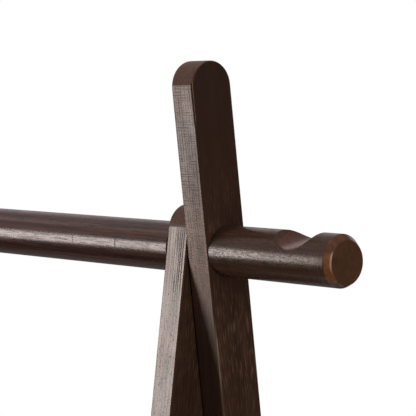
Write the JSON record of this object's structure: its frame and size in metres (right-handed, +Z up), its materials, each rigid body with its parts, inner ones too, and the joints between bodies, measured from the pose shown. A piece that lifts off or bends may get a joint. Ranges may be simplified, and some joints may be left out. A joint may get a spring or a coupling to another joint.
{
  "type": "clothes rack",
  "caption": "Free-standing folding clothes rack: leaning leg pairs cross at a round top rail that ends in notched pegs, with low cross rails.",
  "frame": {"origin": "on the floor, at the middle of the rack's footprint, under the middle of the top rail", "axes": "+X along the top rail towards the end that the picture shows, +Y to the back where the long legs' feet stand, +Z up"},
  "size_m": [1.195, 0.3854, 1.4969],
  "materials": {
    "leg_wood": "dark brown stain under satin varnish, open grain along the leg",
    "rail_wood": "dark brown stain under semi-gloss varnish, grain along the rail",
    "peg_wood": "dark brown stain under semi-gloss varnish, warmer brown on the cut end grain",
    "plug_wood": "dark brown stained plug, end grain outwards",
    "steel": "zinc plated",
    "brass": "plain turned",
    "nylon": "dark matt nylon",
    "felt": "dense dark felt"
  },
  "bodies": {
    "rear_frame": {"top_rail": "rail_wood", "rail_insert_right": "brass", "rail_insert_left": "brass", "pivot_stud_right": "steel", "pivot_stud_left": "steel", "pivot_bush_right": "steel", "pivot_bush_left": "steel", "rail_washer_right": "nylon", "rail_washer_left": "nylon", "leg_washer_right": "nylon", "leg_washer_left": "nylon", "long_leg_right": "leg_wood", "long_leg_left": "leg_wood", "end_peg_right": "peg_wood", "end_peg_left": "peg_wood", "peg_insert_right": "brass", "peg_insert_left": "brass", "stop_pin_right": "steel", "stop_pin_left": "steel", "rear_rail": "rail_wood", "rear_insert_right": "brass", "rear_insert_left": "brass", "rear_bolt_right": "steel", "rear_bolt_left": "steel", "rear_plug_right": "plug_wood", "rear_plug_left": "plug_wood", "rear_pad_right": "felt", "rear_pad_left": "felt"},
    "front_frame": {"short_leg_right": "leg_wood", "short_leg_left": "leg_wood", "front_rail": "rail_wood", "front_insert_right": "brass", "front_insert_left": "brass", "front_bolt_right": "steel", "front_bolt_left": "steel", "front_plug_right": "plug_wood", "front_plug_left": "plug_wood", "front_pad_right": "felt", "front_pad_left": "felt"}
  },
  "joints": [
    {"name": "fold", "type": "hinge", "parent": "rear_frame", "child": "front_frame", "pos_m": [0, 0, 1.35], "axis": [1, 0, 0], "range_deg": [0, 12.8]}
  ]
}
